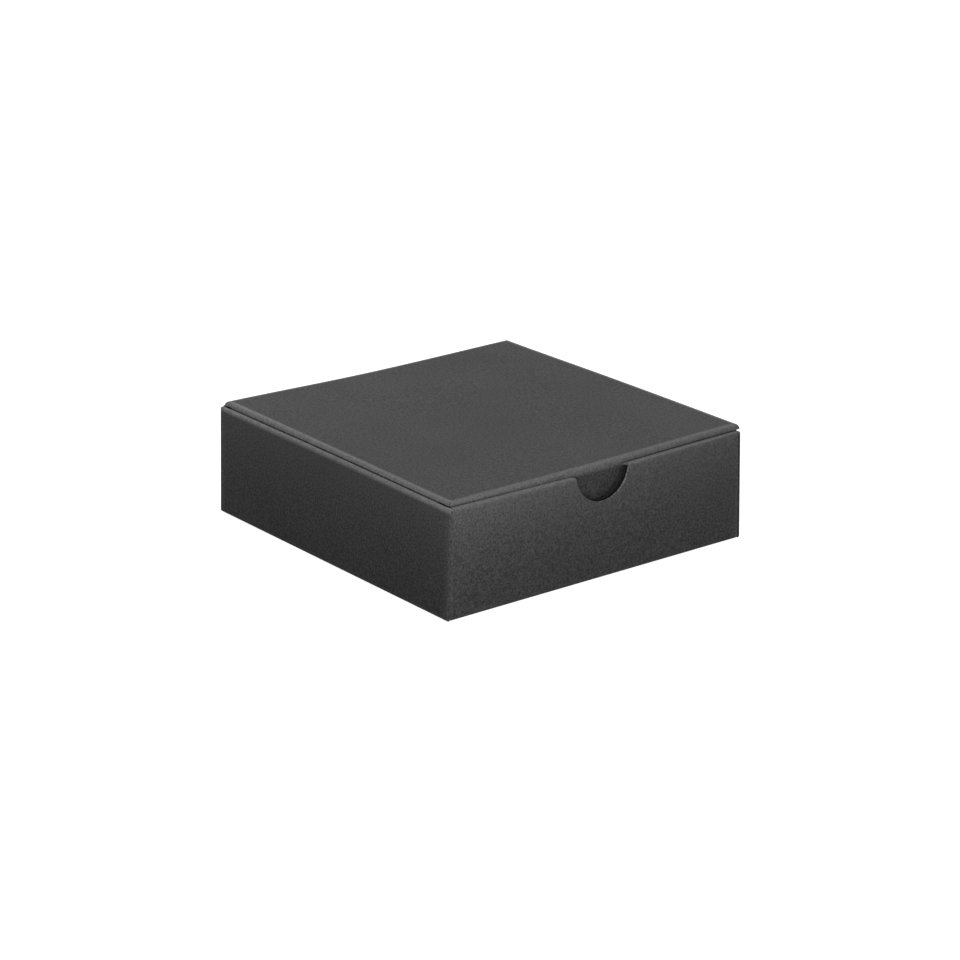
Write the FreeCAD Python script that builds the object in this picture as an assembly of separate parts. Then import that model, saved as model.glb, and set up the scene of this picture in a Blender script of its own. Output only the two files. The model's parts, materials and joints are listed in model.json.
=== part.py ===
import FreeCAD, Part
import math
import os

# A gift box folded from one die-cut sheet of card: a tray with rolled walls, and a lid that is
# hinged to the back wall and tucks in behind the front wall. Each panel, flap and crease of the
# sheet is a solid of its own. Millimetres; X to the right, Y to the back, Z up; the origin is the
# middle of the underside, and the front wall faces -Y.

# ---- The box ---------------------------------------------------------------------------------
width = 101.6                 # outside, left wall to right wall
depth = 101.6                 # outside, front wall to back wall
wall_height = 30.4            # underside to the top of the rolled walls
lid_rise = 1.35               # top of the lid above the rolled walls
board = 0.4                   # thickness of the card

# ---- Creases: outside radius of the bent card --------------------------------------------------
base_fold = 0.6               # between the base and the walls
corner_fold = 0.6             # between a wall and its corner flaps
roll_fold = 0.5               # the two creases along the top of a rolled wall
lid_fold = 1.1                # round the four edges of the lid

# ---- Rolled walls ------------------------------------------------------------------------------
ply_gap = 0.05                # air between two layers of card that lie together
front_wall_thickness = 1.8    # outside face to inside face of the rolled front wall
end_setback = 0.1             # cut ends of the side walls behind the front and back faces
inner_end_gap = 0.15          # ends of the side walls' inner layers to the front and back walls
corner_flap_length = 22.0
corner_flap_taper = 6.0       # degrees, top and bottom edge
corner_flap_lift = 0.3        # lower edge of a corner flap above the base

# ---- Feet of the inner walls, which lock in slots in the base ----------------------------------
foot_length = 14.0
foot_spacing = 56.0           # middle to middle
foot_short = 0.1              # end of a foot above the underside
slot_end_gap = 0.2
slot_side_gap = 0.1

# ---- Thumb notch in the front wall -------------------------------------------------------------
notch_radius = 9.5
notch_depth = 7.6             # below the top of the wall

# ---- Lid, tuck flap and dust flaps -------------------------------------------------------------
lid_gap = 0.12                # between the inner walls and the flaps beside them
lid_mitre_setback = 0.08      # ends of the lid's creases short of the mitre at each corner
tuck_length = 12.0
tuck_lean = 4.5               # degrees inwards, which lets the flap swing out past the front wall
tuck_corner = 5.0             # radius of its lower corners
tuck_end_gap = 0.25           # between its ends and the dust flaps
dust_length = 10.0
dust_lean = 2.0               # degrees inwards
dust_front_gap = 3.0          # front end of a dust flap behind the crease of the tuck flap
dust_back_gap = 2.0           # back end of a dust flap ahead of the lid's hinge crease
dust_front_slant = 48.0       # degrees, front end
dust_back_slant = 15.0        # degrees, back end

cutter_overrun = 1.0          # how far a cutting block runs past what it cuts

# ---- Worked out from the sizes above -----------------------------------------------------------
side_x = width / 2                                    # outer face of the right wall
front_y = -depth / 2                                  # outer face of the front wall
back_y = depth / 2                                    # outer face of the back wall
lid_top = wall_height + lid_rise
side_wall_thickness = 3 * board + 2 * ply_gap         # outer wall, corner flap, inner wall
roll_z = wall_height - roll_fold                      # where the top creases of the walls start
lid_side_x = side_x - side_wall_thickness - lid_gap   # outside of the right dust flap
lid_front_y = front_y + front_wall_thickness + lid_gap
lid_flat_x = lid_side_x - lid_fold                    # edges of the flat part of the lid
lid_flat_front = lid_front_y + lid_fold
lid_flat_back = back_y - lid_fold
lid_fold_z = lid_top - lid_fold                       # centre height of the lid's creases


def vector(along, u, v, w):
    """A point at u, v across the direction named by along, and at w along it."""
    if along == "x":
        return FreeCAD.Vector(w, u, v)
    if along == "y":
        return FreeCAD.Vector(u, w, v)
    return FreeCAD.Vector(u, v, w)


def box(x, y, z):
    """A plain block between two limits on each axis."""
    size = [high - low for low, high in (x, y, z)]
    return Part.makeBox(*size, FreeCAD.Vector(x[0], y[0], z[0]))


def sheet(along, corners, low, high):
    """A flat outline of straight edges, made solid from low to high."""
    points = [vector(along, u, v, low) for u, v in corners]
    face = Part.Face(Part.makePolygon(points + points[:1]))
    return face.extrude(vector(along, 0, 0, high - low))


def fold(along, centre, outer, start, end, low, high):
    """Card bent round one crease: part of a tube, between two angles in degrees."""
    inner = outer - board

    def at(radius, angle):
        turn = math.radians(angle)
        u = centre[0] + radius * math.cos(turn)
        v = centre[1] + radius * math.sin(turn)
        return vector(along, u, v, low)

    middle = (start + end) / 2
    edges = [
        Part.Arc(at(outer, start), at(outer, middle), at(outer, end)).toShape(),
        Part.LineSegment(at(outer, end), at(inner, end)).toShape(),
        Part.Arc(at(inner, end), at(inner, middle), at(inner, start)).toShape(),
        Part.LineSegment(at(inner, start), at(outer, start)).toShape(),
    ]
    return Part.Face(Part.Wire(edges)).extrude(vector(along, 0, 0, high - low))


def joined(*shapes):
    """Touching pieces of one panel, made one solid without seams."""
    whole = shapes[0].multiFuse(list(shapes[1:])) if len(shapes) > 1 else shapes[0]
    return whole.removeSplitter()


def mirrored(shape):
    """The same panel on the other side of the box."""
    return shape.mirror(FreeCAD.Vector(0, 0, 0), FreeCAD.Vector(1, 0, 0))


def leaned(shape, centre, axis, angle):
    """A flap turned about its crease."""
    turned = shape.copy()
    turned.rotate(centre, axis, angle)
    return turned


def foot_places():
    """Middles of the two feet along an inner wall."""
    return (-foot_spacing / 2, foot_spacing / 2)


# ---- Tray --------------------------------------------------------------------------------------
def base_panel():
    """The floor of the box, with the slots that hold the feet of the inner walls."""
    x_edge = side_x - base_fold
    y_edge = back_y - base_fold
    panel = box((-x_edge, x_edge), (-y_edge, y_edge), (0, board))
    reach = foot_length / 2 + slot_end_gap
    inner_x = side_x - side_wall_thickness
    inner_y = front_y + front_wall_thickness
    for middle in foot_places():
        span = (middle - reach, middle + reach)
        across_side = (inner_x - slot_side_gap, inner_x + board + slot_side_gap)
        across_front = (inner_y - board - slot_side_gap, inner_y + slot_side_gap)
        through = (-cutter_overrun, board + cutter_overrun)
        side_slot = box(across_side, span, through)
        front_slot = box(span, across_front, through)
        panel = panel.cut([side_slot, mirrored(side_slot), front_slot])
    return panel


def notch_cutter():
    """A round bar across the front wall, as wide as the thumb notch."""
    centre_z = wall_height - notch_depth + notch_radius
    start = FreeCAD.Vector(0, front_y - cutter_overrun, centre_z)
    length = front_wall_thickness + 2 * cutter_overrun
    return Part.makeCylinder(notch_radius, length, start, FreeCAD.Vector(0, 1, 0))


def wall_end_x():
    """Where the front and back walls turn into their corner flaps."""
    return side_x - board - ply_gap - corner_fold


def front_wall_outer():
    """The front face of the box, down round its crease to the base."""
    end_x = wall_end_x()
    wall = box((-end_x, end_x), (front_y, front_y + board), (base_fold, roll_z))
    centre = (front_y + base_fold, base_fold)
    crease = fold("x", centre, base_fold, 180, 270, -end_x, end_x)
    return joined(wall, crease).cut(notch_cutter())


def back_wall():
    """The back face, which rises above the other walls to carry the lid."""
    end_x = wall_end_x()
    wall = box((-end_x, end_x), (back_y - board, back_y), (base_fold, roll_z))
    hinge_rise = box((-lid_side_x, lid_side_x), (back_y - board, back_y), (roll_z, lid_fold_z))
    centre = (back_y - base_fold, base_fold)
    crease = fold("x", centre, base_fold, 270, 360, -end_x, end_x)
    return joined(wall, hinge_rise, crease)


def side_wall_outer():
    """The outer layer of the right wall, down round its crease to the base."""
    span = (front_y + end_setback, back_y - end_setback)
    crease_end = back_y - base_fold
    wall = box((side_x - board, side_x), span, (base_fold, roll_z))
    centre = (side_x - base_fold, base_fold)
    crease = fold("y", centre, base_fold, 270, 360, -crease_end, crease_end)
    return joined(wall, crease)


def side_wall_top():
    """The strip that rolls over the top of the right wall."""
    low, high = front_y + end_setback, back_y - end_setback
    inner_x = side_x - side_wall_thickness
    outer_crease = fold("y", (side_x - roll_fold, roll_z), roll_fold, 0, 90, low, high)
    inner_crease = fold("y", (inner_x + roll_fold, roll_z), roll_fold, 90, 180, low, high)
    flat_x = (inner_x + roll_fold, side_x - roll_fold)
    flat = box(flat_x, (low, high), (wall_height - board, wall_height))
    return joined(outer_crease, flat, inner_crease)


def side_wall_inner():
    """The inner layer of the right wall, with its two feet."""
    inner_x = side_x - side_wall_thickness
    x = (inner_x, inner_x + board)
    end_y = back_y - board - inner_end_gap
    wall = box(x, (-end_y, end_y), (board, roll_z))
    feet = [
        box(x, (middle - foot_length / 2, middle + foot_length / 2), (foot_short, board))
        for middle in foot_places()
    ]
    return joined(wall, *feet)


def front_wall_top():
    """The strip that rolls over the top of the front wall, cut in two by the thumb notch."""
    end_x = side_x - side_wall_thickness - ply_gap
    inner_y = front_y + front_wall_thickness
    outer_crease = fold("x", (front_y + roll_fold, roll_z), roll_fold, 90, 180, -end_x, end_x)
    inner_crease = fold("x", (inner_y - roll_fold, roll_z), roll_fold, 0, 90, -end_x, end_x)
    flat_y = (front_y + roll_fold, inner_y - roll_fold)
    flat = box((-end_x, end_x), flat_y, (wall_height - board, wall_height))
    strip = joined(outer_crease, flat, inner_crease).cut(notch_cutter())
    return sorted(strip.Solids, key=lambda solid: solid.CenterOfMass.x)


def front_wall_inner():
    """The inner layer of the front wall, with its two feet and its share of the notch."""
    end_x = side_x - side_wall_thickness - ply_gap
    inner_y = front_y + front_wall_thickness
    y = (inner_y - board, inner_y)
    wall = box((-end_x, end_x), y, (board, roll_z))
    feet = [
        box((middle - foot_length / 2, middle + foot_length / 2), y, (foot_short, board))
        for middle in foot_places()
    ]
    return joined(wall, *feet).cut(notch_cutter())


def front_right_corner_flap():
    """The flap at the right end of the front wall, folded back inside the right wall."""
    bottom, top = board + corner_flap_lift, roll_z - ply_gap
    outer_x = side_x - board - ply_gap
    start = front_y + corner_fold
    end = start + corner_flap_length
    drop = corner_flap_length * math.tan(math.radians(corner_flap_taper))
    outline = [(start, bottom), (end, bottom + drop), (end, top - drop), (start, top)]
    flap = sheet("x", outline, outer_x - board, outer_x)
    centre = (outer_x - corner_fold, start)
    crease = fold("z", centre, corner_fold, 270, 360, bottom, top)
    return joined(flap, crease)


def back_right_corner_flap():
    """The flap at the right end of the back wall, a mirror image of the front one."""
    flap = front_right_corner_flap()
    return flap.mirror(FreeCAD.Vector(0, 0, 0), FreeCAD.Vector(0, 1, 0))


# ---- Lid ---------------------------------------------------------------------------------------
def lid_hinge_crease():
    """The crease that joins the lid to the back wall, mitred at the lid's corners."""
    centre = (lid_flat_back, lid_fold_z)
    crease = fold("x", centre, lid_fold, 0, 90, -lid_side_x, lid_side_x)
    return crease.common(mitred_x(lid_flat_back, 1))


def lid_panel():
    """The flat top of the box."""
    x = (-lid_flat_x, lid_flat_x)
    return box(x, (lid_flat_front, lid_flat_back), (lid_top - board, lid_top))


def tuck_crease():
    """The crease along the lid's front edge."""
    centre = (lid_flat_front, lid_fold_z)
    crease = fold("x", centre, lid_fold, 90, 180 + tuck_lean, -lid_side_x, lid_side_x)
    return crease.common(mitred_x(lid_flat_front, -1))


def dust_crease():
    """The crease along the lid's right edge."""
    centre = (lid_flat_x, lid_fold_z)
    low, high = lid_front_y, back_y - board - ply_gap
    crease = fold("y", centre, lid_fold, -dust_lean, 90, low, high)
    return crease.common(mitred_y())


def mitred_x(flat_edge, outwards):
    """A block that trims a crease along X to the lid's mitres; outwards is 1 or -1 along Y."""
    reach = lid_fold + cutter_overrun
    near = flat_edge - outwards * reach
    far = flat_edge + outwards * reach
    short = lid_flat_x - reach - lid_mitre_setback
    long = lid_flat_x + reach - lid_mitre_setback
    corners = [(-short, near), (short, near), (long, far), (-long, far)]
    return sheet("z", corners, lid_fold_z - cutter_overrun, lid_top + cutter_overrun)


def mitred_y():
    """A block that trims the crease along the right edge of the lid to the lid's mitres."""
    reach = lid_fold + cutter_overrun
    near, far = lid_flat_x - reach, lid_flat_x + reach
    start = lid_flat_front + lid_mitre_setback
    end = lid_flat_back - lid_mitre_setback
    corners = [(near, start + reach), (far, start - reach), (far, end + reach), (near, end - reach)]
    return sheet("z", corners, lid_fold_z - cutter_overrun, lid_top + cutter_overrun)


def tuck_flap():
    """The flap at the front of the lid, which slips in behind the front wall."""
    end_x = lid_side_x - board - tuck_end_gap
    top, bottom = lid_fold_z, lid_fold_z - tuck_length
    flap = box((-end_x, end_x), (lid_front_y, lid_front_y + board), (bottom, top))

    def is_lower_corner(edge):
        return edge.BoundBox.ZMax < top - tuck_corner and edge.BoundBox.XLength < board

    flap = flap.makeFillet(tuck_corner, [edge for edge in flap.Edges if is_lower_corner(edge)])
    centre = FreeCAD.Vector(0, lid_flat_front, lid_fold_z)
    return leaned(flap, centre, FreeCAD.Vector(1, 0, 0), tuck_lean)


def dust_flap():
    """The flap at the right of the lid, which slips in beside the right wall."""
    top, bottom = lid_fold_z, lid_fold_z - dust_length
    front_top = lid_flat_front + dust_front_gap
    back_top = lid_flat_back - dust_back_gap
    front_bottom = front_top + dust_length * math.tan(math.radians(dust_front_slant))
    back_bottom = back_top - dust_length * math.tan(math.radians(dust_back_slant))
    outline = [(front_top, top), (front_bottom, bottom), (back_bottom, bottom), (back_top, top)]
    flap = sheet("x", outline, lid_side_x - board, lid_side_x)
    centre = FreeCAD.Vector(lid_flat_x, 0, lid_fold_z)
    return leaned(flap, centre, FreeCAD.Vector(0, 1, 0), dust_lean)


def pieces():
    """Every piece of the box, by name."""
    top_left, top_right = front_wall_top()
    named = {
        "base_panel": base_panel(),
        "front_wall_outer": front_wall_outer(),
        "front_wall_top_left": top_left,
        "front_wall_top_right": top_right,
        "front_wall_inner": front_wall_inner(),
        "back_wall": back_wall(),
        "lid_hinge_crease": lid_hinge_crease(),
        "lid_panel": lid_panel(),
        "tuck_crease": tuck_crease(),
        "tuck_flap": tuck_flap(),
    }
    right_hand = {
        "{}_wall_outer": side_wall_outer(),
        "{}_wall_top": side_wall_top(),
        "{}_wall_inner": side_wall_inner(),
        "front_{}_corner_flap": front_right_corner_flap(),
        "back_{}_corner_flap": back_right_corner_flap(),
        "{}_dust_crease": dust_crease(),
        "{}_dust_flap": dust_flap(),
    }
    for name, shape in right_hand.items():
        named[name.format("right")] = shape
        named[name.format("left")] = mirrored(shape)
    return named


os.makedirs("parts", exist_ok=True)
for name, shape in pieces().items():
    solids = shape.Solids
    print(f"{name}: {len(solids)} solid, {shape.Volume:.2f} mm3, valid {shape.isValid()}")
    solids[0].exportStep(f"parts/{name}.step")
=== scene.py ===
# %% [markdown]
# # A folded card gift box
# The box is one sheet of black card: creased, folded and locked, with no glue in sight. The solids
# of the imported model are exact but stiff, so most panels are folded again here from a strip of
# card, panel by panel, and then the whole box is pushed a little out of true, as real card is.

# %% Load the frame
import json
import math

import bpy
from mathutils import Matrix, Vector


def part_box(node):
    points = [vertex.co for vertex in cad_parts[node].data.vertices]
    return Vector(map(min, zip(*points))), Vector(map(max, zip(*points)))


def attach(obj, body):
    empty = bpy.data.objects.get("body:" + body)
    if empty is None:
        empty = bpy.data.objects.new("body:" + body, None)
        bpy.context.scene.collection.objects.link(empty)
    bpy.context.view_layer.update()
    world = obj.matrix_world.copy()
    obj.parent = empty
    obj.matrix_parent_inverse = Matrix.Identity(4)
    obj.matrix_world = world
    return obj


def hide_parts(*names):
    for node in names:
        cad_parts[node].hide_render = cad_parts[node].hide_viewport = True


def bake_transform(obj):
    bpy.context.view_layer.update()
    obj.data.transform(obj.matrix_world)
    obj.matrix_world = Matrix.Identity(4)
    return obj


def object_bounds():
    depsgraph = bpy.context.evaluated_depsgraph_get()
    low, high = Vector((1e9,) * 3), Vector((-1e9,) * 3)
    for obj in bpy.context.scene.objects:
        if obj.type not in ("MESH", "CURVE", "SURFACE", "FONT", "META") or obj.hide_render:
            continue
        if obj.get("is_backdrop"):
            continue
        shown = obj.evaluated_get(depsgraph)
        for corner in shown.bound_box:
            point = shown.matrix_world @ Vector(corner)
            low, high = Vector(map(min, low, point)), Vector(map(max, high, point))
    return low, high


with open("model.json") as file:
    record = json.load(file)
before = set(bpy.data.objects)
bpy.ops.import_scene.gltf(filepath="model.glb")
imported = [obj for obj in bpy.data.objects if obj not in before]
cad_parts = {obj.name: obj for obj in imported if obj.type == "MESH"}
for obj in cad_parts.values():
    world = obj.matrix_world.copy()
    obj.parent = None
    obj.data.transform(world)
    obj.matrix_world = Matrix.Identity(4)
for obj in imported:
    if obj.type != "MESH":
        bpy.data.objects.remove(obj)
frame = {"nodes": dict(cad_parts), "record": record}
cad_low, cad_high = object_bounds()

# %% [markdown]
# ## Sizes
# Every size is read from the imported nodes, so the pieces fit whatever the model's sizes are. The
# only lengths written here are those that the solids don't have, such as how far wear spreads.

# %% Read the sizes
mm = 0.001


def low_high(node, axis):
    """Lowest and highest place of a node along x, y or z."""
    low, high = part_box(node)
    return getattr(low, axis), getattr(high, axis)


side_x = low_high("right_wall_outer", "x")[1]
front_y = low_high("front_wall_outer", "y")[0]
back_y = low_high("back_wall", "y")[1]
lid_flat_z, lid_top = low_high("lid_panel", "z")
board = lid_top - lid_flat_z
lid_flat_x = low_high("lid_panel", "x")[1]
lid_flat_front, lid_flat_back = low_high("lid_panel", "y")
lid_side_x = low_high("right_dust_crease", "x")[1]
lid_fold = lid_side_x - lid_flat_x
lid_fold_z = lid_top - lid_fold
base_fold = side_x - low_high("base_panel", "x")[1]
roll_z, crest = low_high("right_wall_top", "z")
roll_fold = crest - roll_z
side_wall = side_x - low_high("right_wall_inner", "x")[0]
front_wall = low_high("front_wall_inner", "y")[1] - front_y
print(f"card {board / mm:.2f} mm, side wall {side_wall / mm:.2f}, front wall {front_wall / mm:.2f}")
print(f"walls rise to {crest / mm:.2f} mm and the lid to {lid_top / mm:.2f} mm")

# %% [markdown]
# ## Camera
# A product picture is taken from far off with a long lens, which keeps the box's edges almost
# parallel. The camera's direction is worked out from a turn and a tilt, and its roll is small.

# %% Place the camera
camera_place = Vector((-0.54152, -0.66908, 0.32481))
camera_turn = math.radians(39.010)
camera_tilt = math.radians(19.919)
camera_roll = math.radians(0.753)
image_width = 960
focal_pixels = 3341.7
sensor = 36.0

forward = Vector((
    math.sin(camera_turn) * math.cos(camera_tilt),
    math.cos(camera_turn) * math.cos(camera_tilt),
    -math.sin(camera_tilt),
))
level_right = Vector((math.cos(camera_turn), -math.sin(camera_turn), 0))
level_up = level_right.cross(forward)
right = level_right * math.cos(camera_roll) + level_up * math.sin(camera_roll)
up = level_up * math.cos(camera_roll) - level_right * math.sin(camera_roll)

bpy.ops.object.camera_add(location=camera_place)
camera = bpy.context.object
camera.name = "camera"
camera.rotation_euler = Matrix((right, up, -forward)).transposed().to_euler()
camera.data.sensor_width = sensor
camera.data.lens = focal_pixels / image_width * sensor
camera.data.clip_start, camera.data.clip_end = 0.01, 20
bpy.context.scene.camera = camera
print(f"lens {camera.data.lens:.1f} mm, {camera_place.length:.2f} m from the box")

# %% [markdown]
# ## Folding card
# Card can't be modelled as a block: what the eye reads is its folds. So each piece starts as the
# cut end of the card, a long thin rectangle, and is walked along: extruded where the card is flat
# and spun where it is creased. The walk is a list of runs and bends, in the plane across the fold.

# %% Helpers for the plane across a fold
PLANES = {"x": ("y", "z"), "y": ("x", "z"), "z": ("x", "y")}
SPIN_AXES = {"x": (1, 0, 0), "y": (0, -1, 0), "z": (0, 0, 1)}


def place(along, w, u, v):
    """The point at w along the fold and at u, v in the plane across it."""
    point = Vector()
    for axis, value in zip(along + "".join(PLANES[along]), (w, u, v)):
        setattr(point, axis, value)
    return point


def heading_of(degrees):
    """A unit vector in the plane across the fold."""
    return Vector((math.cos(math.radians(degrees)), math.sin(math.radians(degrees))))


def only(piece):
    """Leave nothing selected but one object."""
    bpy.ops.object.select_all(action="DESELECT")
    piece.select_set(True)
    bpy.context.view_layer.objects.active = piece


# %% The walk
COLUMN = 2.5 * mm
EASE = 0.9 * mm
BEND_STEPS = 8
SMALLEST_GAP = 0.001 * mm
# The spin operator turns the other way from the headings used here.
SPIN_SIGN = -1
# The walk of each piece, by its name: wear is worked out from it later.
PATHS = {}


def stations(length):
    """A run cut into steps, with a short one beside each crease for wear to fade over."""
    if length < 3 * EASE:
        return [length]
    inner = length - 2 * EASE
    count = max(1, round(inner / (2 * COLUMN)))
    return [EASE] + [inner / count] * count + [EASE]


def walk(start, heading, moves):
    """Where a walk goes: its runs and bends as points, and the end point and heading."""
    point, path = Vector(start), []
    for kind, *sizes in moves:
        direction = heading_of(heading)
        if kind == "run":
            path.append(("run", point.copy(), point + direction * sizes[0]))
            point = point + direction * sizes[0]
        else:
            radius, turn = sizes
            side = math.copysign(1, turn)
            centre = point + heading_of(heading + 90 * side) * radius
            first = heading - 90 * side
            path.append(("bend", centre, radius, first, turn))
            heading += turn
            point = centre + heading_of(heading - 90 * side) * radius
    return path, point, heading


def fold_card(name, along, limits, start, heading, moves):
    """A piece of card, from low to high along its folds, walked from a start and a heading."""
    low, high = limits
    length = high - low
    direction = heading_of(heading)
    across = Vector((-direction.y, direction.x))
    axes = (place(along, 1, 0, 0), place(along, 0, *across), place(along, 0, *direction))
    turn = Matrix(axes).transposed()
    middle = place(along, (low + high) / 2, *start)
    columns = max(1, round(length / COLUMN))
    bpy.ops.object.select_all(action="DESELECT")
    bpy.ops.mesh.primitive_grid_add(
        x_subdivisions=columns, y_subdivisions=1, size=1, location=middle
    )
    piece = bpy.context.object
    piece.name = name
    piece.data.name = name
    piece.matrix_world = (
        Matrix.Translation(middle) @ turn.to_4x4() @ Matrix.Diagonal((length, board, 1, 1))
    )
    bpy.ops.object.transform_apply(location=True, rotation=True, scale=True)
    path, _, _ = walk(start, heading, moves)
    bpy.ops.object.mode_set(mode="EDIT")
    bpy.ops.mesh.select_all(action="SELECT")
    for part in path:
        if part[0] == "run":
            step = (part[2] - part[1]).normalized()
            for size in stations((part[2] - part[1]).length):
                bpy.ops.mesh.extrude_region_move(
                    TRANSFORM_OT_translate={"value": place(along, 0, *(step * size))}
                )
        else:
            _, centre, _, _, degrees = part
            bpy.ops.mesh.spin(
                steps=BEND_STEPS,
                angle=math.radians(degrees) * SPIN_SIGN,
                center=place(along, 0, *centre),
                axis=SPIN_AXES[along],
            )
    bpy.ops.mesh.select_all(action="SELECT")
    bpy.ops.mesh.remove_doubles(threshold=SMALLEST_GAP)
    bpy.ops.mesh.normals_make_consistent(inside=False)
    bpy.ops.object.mode_set(mode="OBJECT")
    piece["along"] = along
    PATHS[piece.name] = path
    return piece


# %% [markdown]
# ## Trimming
# A die cuts the card before it is folded, and here the piece is trimmed after: a bisect takes off
# what lies past a plane and closes the cut. The thumb notch is round, so a cylinder takes it out.

# %% Trim, split and notch
NOTCH_RADIUS = 9.4 * mm
NOTCH_DEPTH = 8.5 * mm
NOTCH_ASIDE = 0.3 * mm
NOTCH_LEAN = 0.06
# The hole is cut in the flat card, and the fold over it is a little askew, so the inner layer's
# half sits to one side: this much for each length further in.
NOTCH_SLANT = 0.8
NOTCH_FACETS = 160


def trim(piece, point, outwards, keep_all=False):
    """Cut a piece off past a plane, or only draw the cut's line on it."""
    only(piece)
    bpy.ops.object.mode_set(mode="EDIT")
    bpy.ops.mesh.select_all(action="SELECT")
    bpy.ops.mesh.bisect(
        plane_co=point,
        plane_no=outwards,
        use_fill=not keep_all,
        clear_outer=not keep_all,
        threshold=SMALLEST_GAP,
    )
    bpy.ops.object.mode_set(mode="OBJECT")


def round_corner(piece, centre, radius, along, quarter):
    """Trim a corner to a radius with cuts that touch the arc; quarter is its middle heading."""
    cuts = 7
    for cut in range(cuts):
        heading = quarter - 45 + 90 * (cut + 0.5) / cuts
        direction = heading_of(heading)
        edge = Vector(centre) + direction * radius
        trim(piece, place(along, 0, *edge), place(along, 0, *direction))


def cut_notch(piece):
    """Take the round thumb notch out of a piece of the front wall."""
    centre_z = crest - NOTCH_DEPTH + NOTCH_RADIUS
    bpy.ops.object.select_all(action="DESELECT")
    bpy.ops.mesh.primitive_cylinder_add(
        vertices=NOTCH_FACETS,
        radius=NOTCH_RADIUS,
        depth=4 * front_wall,
        location=(NOTCH_ASIDE, front_y + front_wall / 2, centre_z),
        rotation=(math.pi / 2, 0, 0),
    )
    cutter = bpy.context.object
    bpy.ops.object.transform_apply(location=True, rotation=True, scale=True)
    for vertex in cutter.data.vertices:
        vertex.co.x -= NOTCH_SLANT * (vertex.co.y - front_y)
        vertex.co.x += NOTCH_LEAN * (crest - vertex.co.z)
    cut = piece.modifiers.new("thumb notch", "BOOLEAN")
    cut.operation = "DIFFERENCE"
    cut.solver = "EXACT"
    cut.object = cutter
    only(piece)
    bpy.ops.object.modifier_apply(modifier=cut.name)
    bpy.data.objects.remove(cutter)


# %% [markdown]
# ## Where the card is worn, where light is painted on it, and where it is cut
# A crease stretches the black surface, so it looks paler than the flat card; the paleness given
# here is partly that wear and partly a painted sheen, where a crease catches the light. A cut edge
# shows the rougher inside of the sheet. Wear, with the painted sheen and the painted light up the
# walls, is kept as a number on each point, found from the walk, and the faces of a cut edge get the
# second material.

# %% How far a point is from a crease or a flat stretch
def gap_to_arc(point, centre, radius, first, turn):
    """Distance from a point to the middle of a crease's curved card."""
    offset = point - centre
    angle = math.degrees(math.atan2(offset.y, offset.x))
    part = ((angle - first) * math.copysign(1, turn)) % 360
    if part <= abs(turn) + 0.01 or part > 359.99:
        return abs(offset.length - radius)
    ends = (first, first + turn)
    return min((point - centre - heading_of(end) * radius).length for end in ends)


def gap_to_run(point, start, end):
    """Distance from a point to the middle of a flat stretch of card."""
    line = end - start
    share = max(0, min(1, (point - start).dot(line) / line.length_squared))
    return (point - start - line * share).length


def closeness(gap):
    """1 at a crease, falling smoothly to 0 at the end of the ease."""
    share = max(0, min(1, 1 - gap / EASE))
    return share * share * (3 - 2 * share)


# %% Mark wear, painted light and cut edges
# Wear is a share of the step from the card's grey to the pale grey of wear and painted light, and
# may be more than 1. On the creases it is partly wear and partly a painted sheen. The sides have
# most of
# it: a painted highlight, where their creases catch the light.
FRONT_WEAR_AND_SHEEN = 0.88
SIDE_WEAR_AND_SHEEN = 1.5
SIDE_ROLL_WEAR_AND_SHEEN = 1.85
HINGE_WEAR = 1.0
FLAP_WEAR = 1.0
CORNER_WEAR = 0.3
BASE_WEAR = 0.1
# Painted light: a wall's colour is made paler towards its top and darker towards its foot, standing
# in for light that falls from above. The first number is the paling at the wall's top, and the
# second is what is taken off at its foot.
FRONT_PAINTED_LIGHT = (0.60, 0.02)
SIDE_PAINTED_LIGHT = (0.13, 0.26)
PAINTED_LIGHT_POWER = 2.2
SMOOTH_ANGLE = math.radians(35)
pieces = []


def wear_and_light_at(point, spot, bends, bend_wear_and_sheen, borders, painted_light):
    """The wear at a point across the folds, which is the place called spot in the whole box, with
    painted light added up the walls.
    """
    gaps = [gap_to_arc(point, *bend) - board / 2 for bend in bends]
    worn_and_lit = max([bend_wear_and_sheen * closeness(max(0, gap)) for gap in gaps], default=0)
    for axis, edge, amount in borders:
        worn_and_lit = max(worn_and_lit, amount * closeness(abs(getattr(spot, axis) - edge)))
    # Painted light: paler towards the top of a wall, and darker towards its foot.
    height = max(0, min(1, spot.z / crest))
    top_light, foot_shade = painted_light
    return max(worn_and_lit, top_light * height ** PAINTED_LIGHT_POWER) - foot_shade * (1 - height)


def mark(piece, borders=(), bend_wear_and_sheen=1.0, painted_light=(0, 0)):
    """Write a piece's wear, with its painted sheen and painted light, and give its cut edges the
    second material slot.
    """
    along = piece["along"]
    path = PATHS[piece.name]
    bends = [part[1:] for part in path if part[0] == "bend"]
    runs = [part[1:] for part in path if part[0] == "run"]

    def across(co):
        return Vector(getattr(co, axis) for axis in PLANES[along])

    wear = piece.data.attributes.new("wear", "FLOAT", "POINT")
    for vertex, value in zip(piece.data.vertices, wear.data):
        point = across(vertex.co)
        value.value = wear_and_light_at(point, vertex.co, bends, bend_wear_and_sheen, borders, painted_light)
    cut_faces = 0
    for face in piece.data.polygons:
        point = across(face.center)
        gaps = [gap_to_arc(point, *bend) for bend in bends]
        gaps += [gap_to_run(point, *run) for run in runs]
        face.material_index = int(min(gaps) < board / 4)
        cut_faces += face.material_index
    only(piece)
    bpy.ops.object.shade_smooth_by_angle(angle=SMOOTH_ANGLE)
    pieces.append(piece)
    print(f"{piece.name}: {len(piece.data.polygons)} faces, {cut_faces} of them cut edge")


# %% [markdown]
# ## The front wall
# The front wall is rolled: it comes up from the base, turns over along the top in two creases and
# goes back down inside. It is three nodes, so the walk is cut at the creases' ends.

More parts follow.
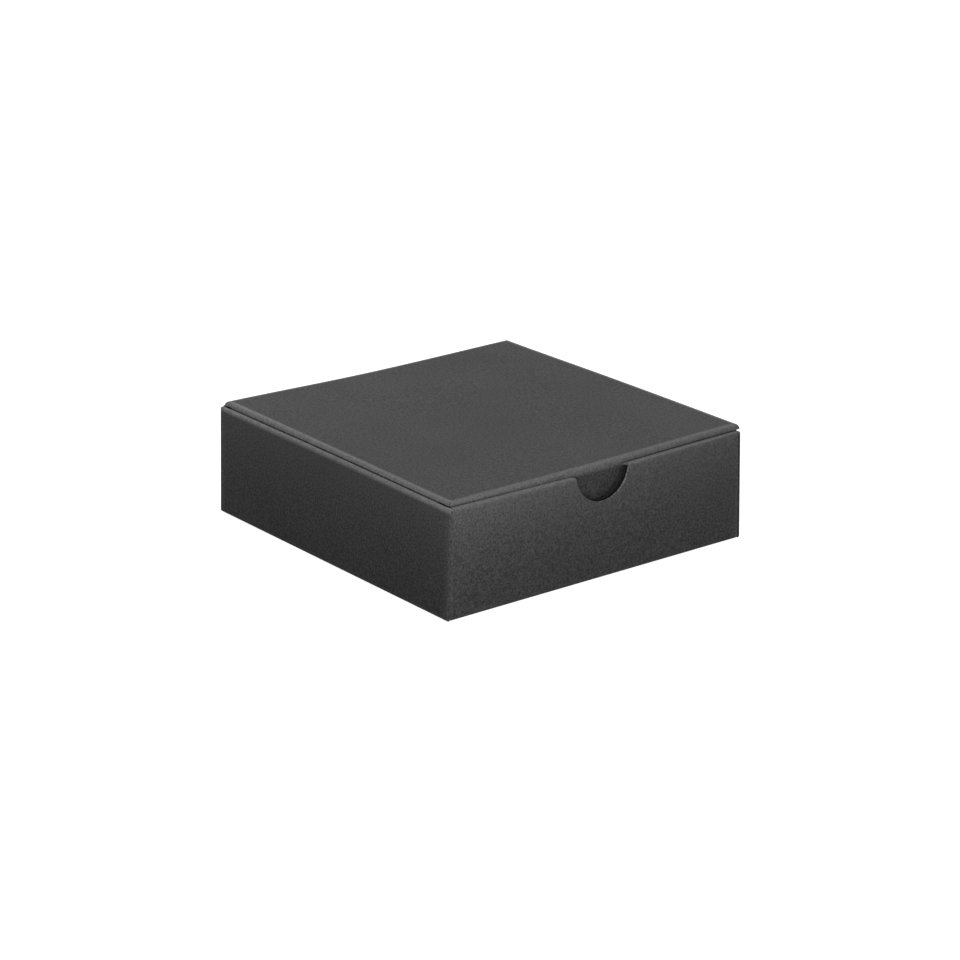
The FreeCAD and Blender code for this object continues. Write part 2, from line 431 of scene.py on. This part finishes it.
# %% Outer layer of the front wall
# The radius to the middle of the card in each sort of crease.
mid_base = base_fold - board / 2
mid_roll = roll_fold - board / 2
mid_lid = lid_fold - board / 2
wall_end = low_high("front_wall_outer", "x")[1]
front_strip_end = low_high("front_wall_inner", "x")[1]
crest_borders = [("z", roll_z, FRONT_WEAR_AND_SHEEN)]
corner_borders = [("x", -wall_end, CORNER_WEAR), ("x", wall_end, CORNER_WEAR)]


def folded_wall(name, face_y, facing, top):
    """A wall's outer layer from its base crease up; facing is -1 at the front and 1 at the back."""
    start = (face_y - facing * base_fold, board / 2)
    heading = 180 if facing < 0 else 0
    moves = [("bend", mid_base, facing * 90), ("run", top - base_fold)]
    wall = fold_card(name, "x", (-wall_end, wall_end), start, heading, moves)
    for side in (-1, 1):
        line = (side * (wall_end - EASE), 0, 0)
        trim(wall, line, (side, 0, 0), keep_all=True)
    return wall


front_outer = folded_wall("front_face", front_y, -1, roll_z)
cut_notch(front_outer)
mark(
    front_outer, crest_borders + corner_borders, bend_wear_and_sheen=BASE_WEAR, painted_light=FRONT_PAINTED_LIGHT
)

# %% [markdown]
# The inner layer stands on two feet, which go down through slots in the base and lock the wall.
# The layer's lower edge is cut at the ends of each foot, and the faces between the cuts are pulled
# down, so that wall and feet stay one sheet.

# %% Inner layer of the front wall
FOOT_LENGTH = 14 * mm
FOOT_SPACING = 56 * mm
inner_y = front_y + front_wall - board / 2
foot_end = low_high("front_wall_inner", "z")[0]


def feet(piece, along, bottom, reach):
    """Pull the feet of an inner wall down through the slots of the base."""
    direction = place(along, 1, 0, 0)
    for middle in (-FOOT_SPACING / 2, FOOT_SPACING / 2):
        for end in (-FOOT_LENGTH / 2, FOOT_LENGTH / 2):
            trim(piece, direction * (middle + end), direction, keep_all=True)
    only(piece)
    bpy.ops.object.mode_set(mode="EDIT")
    bpy.ops.mesh.select_mode(type="FACE")
    bpy.ops.mesh.select_all(action="DESELECT")
    bpy.ops.object.mode_set(mode="OBJECT")
    for face in piece.data.polygons:
        spot = abs(getattr(face.center, along))
        near = abs(spot - FOOT_SPACING / 2) < FOOT_LENGTH / 2
        face.select = near and abs(face.center.z - bottom) < 10 * SMALLEST_GAP
    bpy.ops.object.mode_set(mode="EDIT")
    bpy.ops.mesh.extrude_region_move(TRANSFORM_OT_translate={"value": (0, 0, -reach)})
    bpy.ops.object.mode_set(mode="OBJECT")


front_inner = fold_card(
    "front_lining", "x", (-front_strip_end, front_strip_end),
    (inner_y, roll_z), 270, [("run", roll_z - board)],
)
feet(front_inner, "x", board, board - foot_end)
cut_notch(front_inner)
mark(front_inner, crest_borders)
# The side that faces into the rolled wall, and its cut edge, take the third material slot: a
# near-black grey that is painted shade, darker than the light here leaves them.
shaded_hollow_faces = [
    face for face in front_inner.data.polygons if face.normal.y < -0.9 or face.material_index == 1
]
for face in shaded_hollow_faces:
    face.material_index = 2
print("faces inside the rolled wall:", len(shaded_hollow_faces))

# %% [markdown]
# The strip over the top of the front wall is cut in two by the notch. Each half is folded a little
# too long, and the same round cut that made the notch gives it its end.

# %% Rolled top of the front wall
ROLL_EXCESS = 3 * mm
roll_start = abs(low_high("front_wall_top_left", "x")[1]) - ROLL_EXCESS
roll_halves = {"left": (-front_strip_end, -roll_start), "right": (roll_start, front_strip_end)}
roll_moves = [
    ("bend", mid_roll, -90),
    ("run", front_wall - 2 * roll_fold),
    ("bend", mid_roll, -90),
]
for side, limits in roll_halves.items():
    strip = fold_card(
        f"front_roll_{side}", "x", limits, (front_y + board / 2, roll_z), 90, roll_moves
    )
    cut_notch(strip)
    mark(strip, bend_wear_and_sheen=FRONT_WEAR_AND_SHEEN)

# %% [markdown]
# ## The side walls
# Each side wall is rolled in the same way, with the end flaps of the front and back walls held
# between its two layers. The strip over the top runs to the corners.

# %% Mirrored copies, and the moves of a side wall
side_end = low_high("right_wall_outer", "y")[1]
side_lining_end = low_high("right_wall_inner", "y")[1]
side_moves = [("bend", mid_base, 90), ("run", roll_z - base_fold)]
side_roll = [("bend", mid_roll, 90), ("run", side_wall - 2 * roll_fold), ("bend", mid_roll, 90)]


def other_side(piece, name):
    """A mirrored copy of a right-hand piece, with its own mesh and its faces outwards."""
    only(piece)
    bpy.ops.object.duplicate()
    copy = bpy.context.object
    copy.name = name
    copy.data.name = name
    copy.scale.x = -1
    bpy.ops.object.transform_apply(location=False, rotation=False, scale=True)
    bpy.ops.object.mode_set(mode="EDIT")
    bpy.ops.mesh.select_all(action="SELECT")
    bpy.ops.mesh.normals_make_consistent(inside=False)
    bpy.ops.object.mode_set(mode="OBJECT")
    pieces.append(copy)
    return copy


# %% Side walls
right_outer = fold_card(
    "right_face", "y", (-side_end, side_end), (side_x - base_fold, board / 2), 0, side_moves
)
side_borders = [
    ("z", roll_z, SIDE_ROLL_WEAR_AND_SHEEN),
    ("y", -side_end, CORNER_WEAR), ("y", side_end, CORNER_WEAR),
]
mark(right_outer, side_borders, bend_wear_and_sheen=BASE_WEAR, painted_light=SIDE_PAINTED_LIGHT)
# At the corners of the box its ends take the face's material too, not the cut edge's, so they are
# as dark as its face.
for face in right_outer.data.polygons:
    face.material_index = 0
right_roll = fold_card(
    "right_roll", "y", (-side_end, side_end), (side_x - board / 2, roll_z), 90, side_roll
)
mark(right_roll, bend_wear_and_sheen=SIDE_ROLL_WEAR_AND_SHEEN)
right_inner = fold_card(
    "right_lining", "y", (-side_lining_end, side_lining_end),
    (side_x - side_wall + board / 2, roll_z), 270, [("run", roll_z - board)],
)
feet(right_inner, "y", board, board - foot_end)
mark(right_inner, crest_borders)
for right_piece in (right_outer, right_roll, right_inner):
    other_side(right_piece, right_piece.name.replace("right", "left"))

# %% [markdown]
# ## The back wall and the corner flaps
# The back wall is a single layer, because the lid grows out of it: between the side walls it goes
# on up to the lid's hinge crease.

# %% Back wall
back_wall = folded_wall("back_face", back_y, 1, lid_fold_z)
back_borders = [("z", lid_fold_z, HINGE_WEAR)] + corner_borders
mark(back_wall, back_borders, bend_wear_and_sheen=BASE_WEAR, painted_light=SIDE_PAINTED_LIGHT)

# %% [markdown]
# The front and back walls have a flap at each end, folded in between the layers of the side wall.
# It is folded about an upright crease, and a die tapers it so that it slides in easily.

# %% Corner flaps
TAPER = math.radians(6)
flap_low, flap_high = low_high("front_right_corner_flap", "z")
flap_outer = low_high("front_right_corner_flap", "x")[1]
flap_reach = low_high("front_right_corner_flap", "y")[1] - front_y
corner_fold = flap_outer - wall_end


def corner_tab(name, face_y, facing):
    """The right-hand flap of a wall; facing is -1 at the front and 1 at the back."""
    tab = fold_card(
        name, "z", (flap_low, flap_high), (wall_end, face_y - facing * board / 2), 0,
        [("bend", corner_fold - board / 2, -facing * 90), ("run", flap_reach - corner_fold)],
    )
    for edge_z, side in ((flap_low, -1), (flap_high, 1)):
        start = (0, face_y - facing * corner_fold, edge_z)
        trim(tab, start, (0, -facing * math.sin(TAPER), side * math.cos(TAPER)))
    mark(tab, bend_wear_and_sheen=CORNER_WEAR, painted_light=SIDE_PAINTED_LIGHT)
    other_side(tab, name.replace("right", "left"))


corner_tab("front_right_tab", front_y, -1)
corner_tab("back_right_tab", back_y, 1)

# %% [markdown]
# ## The lid
# The lid is a flat sheet with a crease on each side. The creases bend when the box is opened, so
# each one is a strip of its own, made with the same walk, and it stops at the lid's mitred corners.

# %% Lid sheet
lid_mid_z = lid_top - board / 2
lid_sheet = fold_card(
    "lid_sheet", "x", (-lid_flat_x, lid_flat_x), (lid_flat_front, lid_mid_z), 0,
    [("run", lid_flat_back - lid_flat_front)],
)
for side in (-1, 1):
    trim(lid_sheet, (side * (lid_flat_x - EASE), 0, 0), (side, 0, 0), keep_all=True)
lid_borders = [
    ("x", -lid_flat_x, SIDE_WEAR_AND_SHEEN), ("x", lid_flat_x, SIDE_WEAR_AND_SHEEN),
    ("y", lid_flat_front, FRONT_WEAR_AND_SHEEN), ("y", lid_flat_back, HINGE_WEAR),
]
mark(lid_sheet, lid_borders)

# %% Creases of the lid
MITRE_SETBACK = 0.08 * mm
# A flap is folded a little past square, so that it leans in and clears the wall.
tuck_angle = 94.5
dust_angle = 92.0


def mitre(piece, corner_x, corner_y, outwards):
    """Trim a crease at one corner of the lid; outwards is along the crease, towards the corner."""
    towards = Vector(outwards)
    inwards = Vector((-math.copysign(1, corner_x), -math.copysign(1, corner_y), 0))
    across = inwards - towards * inwards.dot(towards)
    corner = Vector((corner_x, corner_y, 0)) - towards * MITRE_SETBACK
    trim(piece, corner, towards + across)


hinge_strip = fold_card(
    "hinge_crease", "x", (-lid_side_x, lid_side_x), (lid_flat_back, lid_mid_z), 0,
    [("bend", mid_lid, -90)],
)
tuck_strip = fold_card(
    "tuck_crease_strip", "x", (-lid_side_x, lid_side_x), (lid_flat_front, lid_mid_z), 180,
    [("bend", mid_lid, tuck_angle)],
)
for side in (-1, 1):
    mitre(hinge_strip, side * lid_flat_x, lid_flat_back, (side, 0, 0))
    mitre(tuck_strip, side * lid_flat_x, lid_flat_front, (side, 0, 0))
dust_front, dust_back = low_high("right_dust_crease", "y")
dust_strip = fold_card(
    "right_dust_crease_strip", "y", (dust_front, dust_back), (lid_flat_x, lid_mid_z), 0,
    [("bend", mid_lid, -dust_angle)],
)
mitre(dust_strip, lid_flat_x, lid_flat_front, (0, -1, 0))
mitre(dust_strip, lid_flat_x, lid_flat_back, (0, 1, 0))
mark(hinge_strip, bend_wear_and_sheen=HINGE_WEAR)
mark(tuck_strip, bend_wear_and_sheen=FRONT_WEAR_AND_SHEEN)
mark(dust_strip, bend_wear_and_sheen=SIDE_WEAR_AND_SHEEN)
left_dust_strip = other_side(dust_strip, "left_dust_crease_strip")

# %% [markdown]
# Three flaps hang from the creases inside the walls. The tuck flap goes in behind the front wall
# and holds the lid shut, so its corners are rounded to find the way in. The dust flaps close the
# sides, and their ends are cut at a slant, more so in front, to clear the tuck flap. Each flap
# starts where the walk over its crease ends.

# %% Tuck flap
TUCK_CORNER = 5 * mm
flap_border = [("z", lid_fold_z, FLAP_WEAR)]
neck = lid_fold_z - crest
tuck_end = low_high("tuck_flap", "x")[1]
tuck_lean = math.radians(tuck_angle - 90)
tuck_length = (lid_fold_z - low_high("tuck_flap", "z")[0]) / math.cos(tuck_lean)
_, tuck_start, tuck_heading = walk(
    (lid_flat_front, lid_mid_z), 180, [("bend", mid_lid, tuck_angle)]
)
tuck_flap = fold_card(
    "tuck_flap_card", "x", (-tuck_end, tuck_end), tuck_start, tuck_heading,
    [("run", neck), ("run", tuck_length - neck)],
)
tuck_low = low_high("tuck_flap", "z")[0]
for side in (-1, 1):
    centre = (side * (tuck_end - TUCK_CORNER), tuck_low + TUCK_CORNER)
    round_corner(tuck_flap, centre, TUCK_CORNER, "y", -90 + side * 45)
mark(tuck_flap, flap_border)

# %% Dust flaps
FRONT_SLANT = 48
BACK_SLANT = 15
dust_low = low_high("right_dust_flap", "z")[0]
dust_ends = low_high("right_dust_flap", "y")
dust_length = lid_fold_z - dust_low
_, dust_start, dust_heading = walk((lid_flat_x, lid_mid_z), 0, [("bend", mid_lid, -dust_angle)])
dust_flap = fold_card(
    "right_dust_flap_card", "y", dust_ends, dust_start, dust_heading,
    [("run", neck), ("run", dust_length - neck)],
)
for end, slant, side in ((dust_ends[0], FRONT_SLANT, -1), (dust_ends[1], BACK_SLANT, 1)):
    slope = math.radians(slant)
    trim(dust_flap, (0, end, lid_fold_z), (0, side * math.cos(slope), -math.sin(slope)))
mark(dust_flap, flap_border)
other_side(dust_flap, "left_dust_flap_card")

# %% [markdown]
# ## Out of true
# Folded card is never quite square: a wall leans in by half a millimetre, an edge sags between its
# corners, a lid sits a little askew. Lattices bend everything together, so that no two pieces part
# or meet: one over the height of the walls, and two above them that set the lid askew and lift it.
# The lid's flaps take the walls' shape, and only their necks, above the walls, follow the lid.

# %% How far each corner and edge is out of true
# Each row runs from left to right, from the front row to the back, in millimetres.
WALL_SHIFTS = (
    ((0.34, -0.22, 0.09), (0.35, -0.19, -0.34), (-0.65, 0.58, 0.22)),
    ((0.25, -0.00, 0.40), (0.00, 0.00, 0.00), (0.19, -0.02, 0.34)),
    ((0.35, -0.16, 0.17), (-0.03, -0.32, -0.81), (1.05, -1.00, -0.41)),
)
LID_SHIFTS = (
    ((0.18, -0.29, -0.31), (0.35, -0.15, -0.22), (1.38, -0.45, 0.62)),
    ((0.07, -0.01, 0.09), (0.20, -0.10, -0.10), (0.38, -0.04, 0.68)),
    ((0.35, -0.16, 0.17), (-0.03, -0.32, -0.81), (1.05, -1.00, -0.41)),
)
# The height above the walls over which the lid's own shift comes in.
ASKEW_HEIGHT = 0.2 * mm


# %% A lattice over the box
def lattice(name, low_z, high_z, low_shifts, high_shifts):
    """A lattice over the box's plan between two heights, with its points pushed out of true."""
    size = Vector((2 * side_x, back_y - front_y, high_z - low_z))
    bpy.ops.object.select_all(action="DESELECT")
    bpy.ops.object.add(type="LATTICE", location=(0, (front_y + back_y) / 2, (low_z + high_z) / 2))
    cage = bpy.context.object
    cage.name = name
    cage.data.points_u, cage.data.points_v, cage.data.points_w = 3, 3, 2
    cage.data.interpolation_type_u = "KEY_CATMULL_ROM"
    cage.data.interpolation_type_v = "KEY_CATMULL_ROM"
    cage.data.interpolation_type_w = "KEY_LINEAR"
    cage.scale = size
    for index, point in enumerate(cage.data.points):
        layer, rest = divmod(index, 9)
        row, column = divmod(rest, 3)
        shift = Vector((low_shifts, high_shifts)[layer][row][column]) * mm
        point.co_deform = point.co + Vector(s / length for s, length in zip(shift, size))
    return cage


# %% Bend every piece
# The lid's shift is what it has beyond the walls', sideways in one lattice and upwards in another.
no_shifts = [[(0, 0, 0)] * 3] * 3
askew, lift = [], []
for wall_row, lid_row in zip(WALL_SHIFTS, LID_SHIFTS):
    extra = [[b - a for a, b in zip(wall, lid)] for wall, lid in zip(wall_row, lid_row)]
    askew.append([(x, y, 0) for x, y, _ in extra])
    lift.append([(0, 0, z) for _, _, z in extra])
cages = (
    lattice("lid lifted", crest + ASKEW_HEIGHT, lid_top, no_shifts, lift),
    lattice("lid askew", crest, crest + ASKEW_HEIGHT, no_shifts, askew),
    lattice("walls out of true", 0, crest, no_shifts, WALL_SHIFTS),
)
for piece in pieces:
    only(piece)
    for cage in cages:
        bend = piece.modifiers.new(cage.name, "LATTICE")
        bend.object = cage
        bpy.ops.object.modifier_apply(modifier=bend.name)
for cage in cages:
    bpy.data.objects.remove(cage)
print("bent", len(pieces), "pieces")

# %% [markdown]
# ## Black card
# The card is dyed black and left uncoated. Close to, it is a felt of fibres: a fine speckle of dark
# and less dark, a surface that is slightly rough, and broad faint clouds where the felt is thicker.
# The pattern is in the card's own place, in metres, so a fibre is the same size on every piece.

# %% Nodes of a material
def new_material(name):
    """An empty material, with its shader and output joined."""
    material = bpy.data.materials.new(name)
    material.use_nodes = True
    tree = material.node_tree
    tree.nodes.clear()
    output = tree.nodes.new("ShaderNodeOutputMaterial")
    shader = tree.nodes.new("ShaderNodeBsdfPrincipled")
    tree.links.new(shader.outputs["BSDF"], output.inputs["Surface"])
    return material, tree, shader


def noise(tree, coordinates, scale, detail, roughness):
    """A noise texture over the card's place; its features are 1 / scale metres across."""
    texture = tree.nodes.new("ShaderNodeTexNoise")
    texture.inputs["Scale"].default_value = scale
    texture.inputs["Detail"].default_value = detail
    texture.inputs["Roughness"].default_value = roughness
    tree.links.new(coordinates, texture.inputs["Vector"])
    return texture.outputs["Fac"]


def mapped(tree, value, low, high, from_low=0.3, from_high=0.7):
    """A value brought into a new range."""
    ranged = tree.nodes.new("ShaderNodeMapRange")
    ranged.inputs["From Min"].default_value = from_low
    ranged.inputs["From Max"].default_value = from_high
    ranged.inputs["To Min"].default_value = low
    ranged.inputs["To Max"].default_value = high
    tree.links.new(value, ranged.inputs["Value"])
    return ranged.outputs["Result"]


def combined(tree, operation, first, second):
    """Two values joined by a maths node; either may be a number."""
    maths = tree.nodes.new("ShaderNodeMath")
    maths.operation = operation
    for socket, value in zip(maths.inputs, (first, second)):
        if isinstance(value, (int, float)):
            socket.default_value = value
        else:
            tree.links.new(value, socket)
    return maths.outputs["Value"]


# %% Greys and grains of the card
FACE_GREY = 0.038
# The pale grey that crease wear, the painted sheen on creases and the painted light up the walls
# lead to.
WEAR_AND_LIGHT_GREY = 0.115
CUT_GREY = 0.13
# Painted shade: a near-black grey for the lining's face inside the rolled wall.
HOLLOW_SHADE_GREY = 0.014
# Each spread is the share by which the grey goes up and down.
FACE_SPREAD = 0.8
CLOUD_SPREAD = 0.08
# How many features of each grain there are in a metre.
FIBRE_SCALE = 1800
FLECK_SCALE = 900
CLOUD_SCALE = 45
SMOOTHEST = 0.62
ROUGHEST = 0.82
SHEEN_LEVEL = 0.12
FIBRE_HEIGHT = 0.03 * mm
FIBRE_STRENGTH = 0.35


def grey_colour(tree, value):
    """A neutral colour from one value."""
    colour = tree.nodes.new("ShaderNodeCombineColor")
    for socket in colour.inputs[:3]:
        tree.links.new(value, socket)
    return colour.outputs["Color"]


# %% Black card as a material
def card_place(tree, from_attribute):
    """The card's place: its object's coordinates, or those kept on a strip that bends."""
    if from_attribute:
        stored = tree.nodes.new("ShaderNodeAttribute")
        stored.attribute_name = "card_place"
        return stored.outputs["Vector"]
    return tree.nodes.new("ShaderNodeTexCoord").outputs["Object"]


def card_material(name, grey, from_attribute=False, worn_and_lit=True):
    """Black card: speckled grey, rough, and paler where it is worn, with painted sheen and painted
    light added to the wear.
    """
    material, tree, shader = new_material(name)
    coordinates = card_place(tree, from_attribute)
    fibre = noise(tree, coordinates, FIBRE_SCALE, 5, 0.75)
    fleck = noise(tree, coordinates, FLECK_SCALE, 3, 0.5)
    cloud = noise(tree, coordinates, CLOUD_SCALE, 3, 0.5)
    speckle = mapped(tree, fibre, grey * (1 - FACE_SPREAD), grey * (1 + FACE_SPREAD), 0.35, 0.65)
    clouds = mapped(tree, cloud, 1 - CLOUD_SPREAD, 1 + CLOUD_SPREAD)
    value = combined(tree, "MULTIPLY", speckle, clouds)
    # The attribute holds crease wear with a painted sheen, and painted light: paler up the walls,
    # darker at their feet.
    if worn_and_lit:
        wear = tree.nodes.new("ShaderNodeAttribute")
        wear.attribute_name = "wear"
        patchy = combined(tree, "MULTIPLY", wear.outputs["Fac"], mapped(tree, fleck, 0.7, 1.0))
        paler = combined(tree, "MULTIPLY", patchy, WEAR_AND_LIGHT_GREY - grey)
        value = combined(tree, "ADD", value, paler)
    tree.links.new(grey_colour(tree, value), shader.inputs["Base Color"])
    tree.links.new(mapped(tree, fibre, SMOOTHEST, ROUGHEST), shader.inputs["Roughness"])
    shader.inputs["Specular IOR Level"].default_value = SHEEN_LEVEL
    height = combined(tree, "ADD", fibre, combined(tree, "MULTIPLY", fleck, 0.4))
    bump = tree.nodes.new("ShaderNodeBump")
    bump.inputs["Strength"].default_value = FIBRE_STRENGTH
    bump.inputs["Distance"].default_value = FIBRE_HEIGHT
    tree.links.new(height, bump.inputs["Height"])
    tree.links.new(bump.outputs["Normal"], shader.inputs["Normal"])
    return material


black_card = card_material("black card", FACE_GREY)
bending_card = card_material("black card crease", FACE_GREY, from_attribute=True)
# Painted shade: the near-black card inside the rolled wall.
painted_shade_card = card_material("painted shade inside the rolled wall", HOLLOW_SHADE_GREY, worn_and_lit=False)
cut_card = card_material("cut edge of card", CUT_GREY, worn_and_lit=False)
bending_cut = card_material("cut edge of crease", CUT_GREY, from_attribute=True, worn_and_lit=False)

# %% [markdown]
# Each made piece has the card in its first slot and the cut edge in its second. A crease strip
# bends when the lid moves, so it keeps its own place as a number on each point, and the pattern
# bends with it.

# %% Put the card on the pieces
strips = (hinge_strip, tuck_strip, dust_strip, left_dust_strip)
for piece in pieces:
    if piece in strips:
        kept = piece.data.attributes.new("card_place", "FLOAT_VECTOR", "POINT")
        places = [value for vertex in piece.data.vertices for value in vertex.co]
        kept.data.foreach_set("vector", places)
        piece.data.materials.append(bending_card)
        piece.data.materials.append(bending_cut)
    else:
        piece.data.materials.append(black_card)
        piece.data.materials.append(cut_card)
front_inner.data.materials.append(painted_shade_card)
for node in frame["nodes"].values():
    node.data.materials.clear()
    node.data.materials.append(black_card)
print("card on", len(pieces), "pieces, of which", len(strips), "are creases")

# %% [markdown]
# ## Putting the box together
# Each made piece stands for its node, which is hidden, and rides on that node's body. A crease
# belongs to two bodies, so it is left where it was made and rides on neither.

# %% Which node each piece stands for
STANDS_FOR = {
    "front_face": "front_wall_outer",
    "front_lining": "front_wall_inner",
    "front_roll_left": "front_wall_top_left",
    "front_roll_right": "front_wall_top_right",
    "back_face": "back_wall",
    "lid_sheet": "lid_panel",
    "tuck_flap_card": "tuck_flap",
    "hinge_crease": "lid_hinge_crease",
    "tuck_crease_strip": "tuck_crease",
}
for side in ("left", "right"):
    STANDS_FOR[f"{side}_face"] = f"{side}_wall_outer"
    STANDS_FOR[f"{side}_roll"] = f"{side}_wall_top"
    STANDS_FOR[f"{side}_lining"] = f"{side}_wall_inner"
    STANDS_FOR[f"front_{side}_tab"] = f"front_{side}_corner_flap"
    STANDS_FOR[f"back_{side}_tab"] = f"back_{side}_corner_flap"
    STANDS_FOR[f"{side}_dust_flap_card"] = f"{side}_dust_flap"
    STANDS_FOR[f"{side}_dust_crease_strip"] = f"{side}_dust_crease"
body_of_node = {}
for body, nodes in frame["record"]["behaviour"]["bodies"].items():
    for node in nodes:
        body_of_node[node] = body

# %% What each crease joins
# The two bodies that a crease joins, and the places where its curve starts and ends.
lid_back = (0, lid_flat_back, lid_top)
lid_front = (0, lid_flat_front, lid_top)
tuck_end_place = (0, lid_flat_front - lid_fold, lid_fold_z)
CREASES = {
    "hinge_crease": ("tray", "lid", (0, back_y, lid_fold_z), lid_back),
    "tuck_crease_strip": ("lid", "tuck_flap", lid_front, tuck_end_place),
}
for side, sign in (("left", -1), ("right", 1)):
    CREASES[f"{side}_dust_crease_strip"] = (
        "lid", f"{side}_dust_flap",
        (sign * lid_flat_x, 0, lid_top), (sign * lid_side_x, 0, lid_fold_z),
    )

# %% Ride and replace
for piece in pieces:
    node = STANDS_FOR[piece.name]
    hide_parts(node)
    if piece.name in CREASES:
        first, second, start, end = CREASES[piece.name]
        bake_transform(piece)
    else:
        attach(piece, body_of_node[node])
print(len(STANDS_FOR), "nodes have a made piece;", len(CREASES), "of them bend")

# %% [markdown]
# ## Studio
# The box stands on a white floor that runs out of sight into white. The floor and the world are
# made white only for what the camera sees, in the open or in a reflection, so the light that falls
# on the box can stay at a plain level and dark card stays dark.

# %% Floor
FLOOR_SIZE = 6
FLOOR_DROP = 0.2 * mm
FLOOR_GREY = 0.35
FLOOR_GLOW = 0.93


def seen_white(tree):
    """1 for rays seen by the camera, also by reflection or through glass, and 0 for other light."""
    path = tree.nodes.new("ShaderNodeLightPath")
    seen = combined(tree, "MAXIMUM", path.outputs["Is Camera Ray"], path.outputs["Is Glossy Ray"])
    return combined(tree, "MAXIMUM", seen, path.outputs["Is Transmission Ray"])


bpy.ops.object.select_all(action="DESELECT")
bpy.ops.mesh.primitive_plane_add(size=FLOOR_SIZE, location=(0, 0, -FLOOR_DROP))
floor = bpy.context.object
floor.name = "floor"
floor_paint, tree, shader = new_material("white floor")
shader.inputs["Base Color"].default_value = (FLOOR_GREY, FLOOR_GREY, FLOOR_GREY, 1)
shader.inputs["Roughness"].default_value = 0.9
shader.inputs["Specular IOR Level"].default_value = 0.1
glow = tree.nodes.new("ShaderNodeEmission")
glow.inputs["Color"].default_value = (1, 1, 1, 1)
tree.links.new(combined(tree, "MULTIPLY", seen_white(tree), FLOOR_GLOW), glow.inputs["Strength"])
lit = tree.nodes.new("ShaderNodeAddShader")
tree.links.new(shader.outputs["BSDF"], lit.inputs[0])
tree.links.new(glow.outputs["Emission"], lit.inputs[1])
tree.links.new(lit.outputs["Shader"], tree.nodes["Material Output"].inputs["Surface"])
floor.data.materials.append(floor_paint)
floor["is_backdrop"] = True
print(f"floor {FLOOR_SIZE} m wide, {FLOOR_DROP / mm:.1f} mm under the box")

# %% World
FILL_LEVEL = 0.25
world = bpy.data.worlds.new("white studio")
bpy.context.scene.world = world
world.use_nodes = True
tree = world.node_tree
tree.nodes.clear()
output = tree.nodes.new("ShaderNodeOutputWorld")
background = tree.nodes.new("ShaderNodeBackground")
background.inputs["Color"].default_value = (1, 1, 1, 1)
above_fill = combined(tree, "MULTIPLY", seen_white(tree), 1 - FILL_LEVEL)
strength = combined(tree, "ADD", above_fill, FILL_LEVEL)
tree.links.new(strength, background.inputs["Strength"])
tree.links.new(background.outputs["Background"], output.inputs["Surface"])
print("the world lights the box at a level of", FILL_LEVEL)

# %% [markdown]
# ## Lamps
# One large lamp high on the right lights the lid. Three small ones stand close: behind the lid's
# far left corner, before the front face, and off the near corner. A small lamp close by lights a
# face unevenly, and that makes flat black card look like a surface and not a hole.

# %% Place the lamps
def softbox(name, place_at, size, watts):
    """A square soft lamp that faces the box."""
    bpy.ops.object.light_add(type="AREA", location=place_at)
    lamp = bpy.context.object
    lamp.name = name
    lamp.data.size = size
    lamp.data.energy = watts
    aim = Vector((0, 0, crest / 2)) - Vector(place_at)
    lamp.rotation_euler = aim.to_track_quat("-Z", "Y").to_euler()
    return lamp


softbox("side lamp", (0.7, 0.0, 0.5), 0.5, 7.5)
softbox("back lamp", (-0.08, 0.14, 0.13), 0.1, 0.14)
softbox("front lamp", (-0.12, -0.25, 0.08), 0.12, 0.20)
softbox("corner lamp", (-0.17, -0.20, 0.06), 0.12, 0.175)

scene = bpy.context.scene
scene.view_settings.view_transform = "Standard"

# %% [markdown]
# ## Sizes of the made box
# The box around the model and the box around the made pieces are printed, so that the two can be
# compared.

# %% Print the sizes
made_low, made_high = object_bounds()
for name, extent in (("model", cad_high - cad_low), ("made", made_high - made_low)):
    print(name, "size in mm:", [round(length / mm, 2) for length in extent])
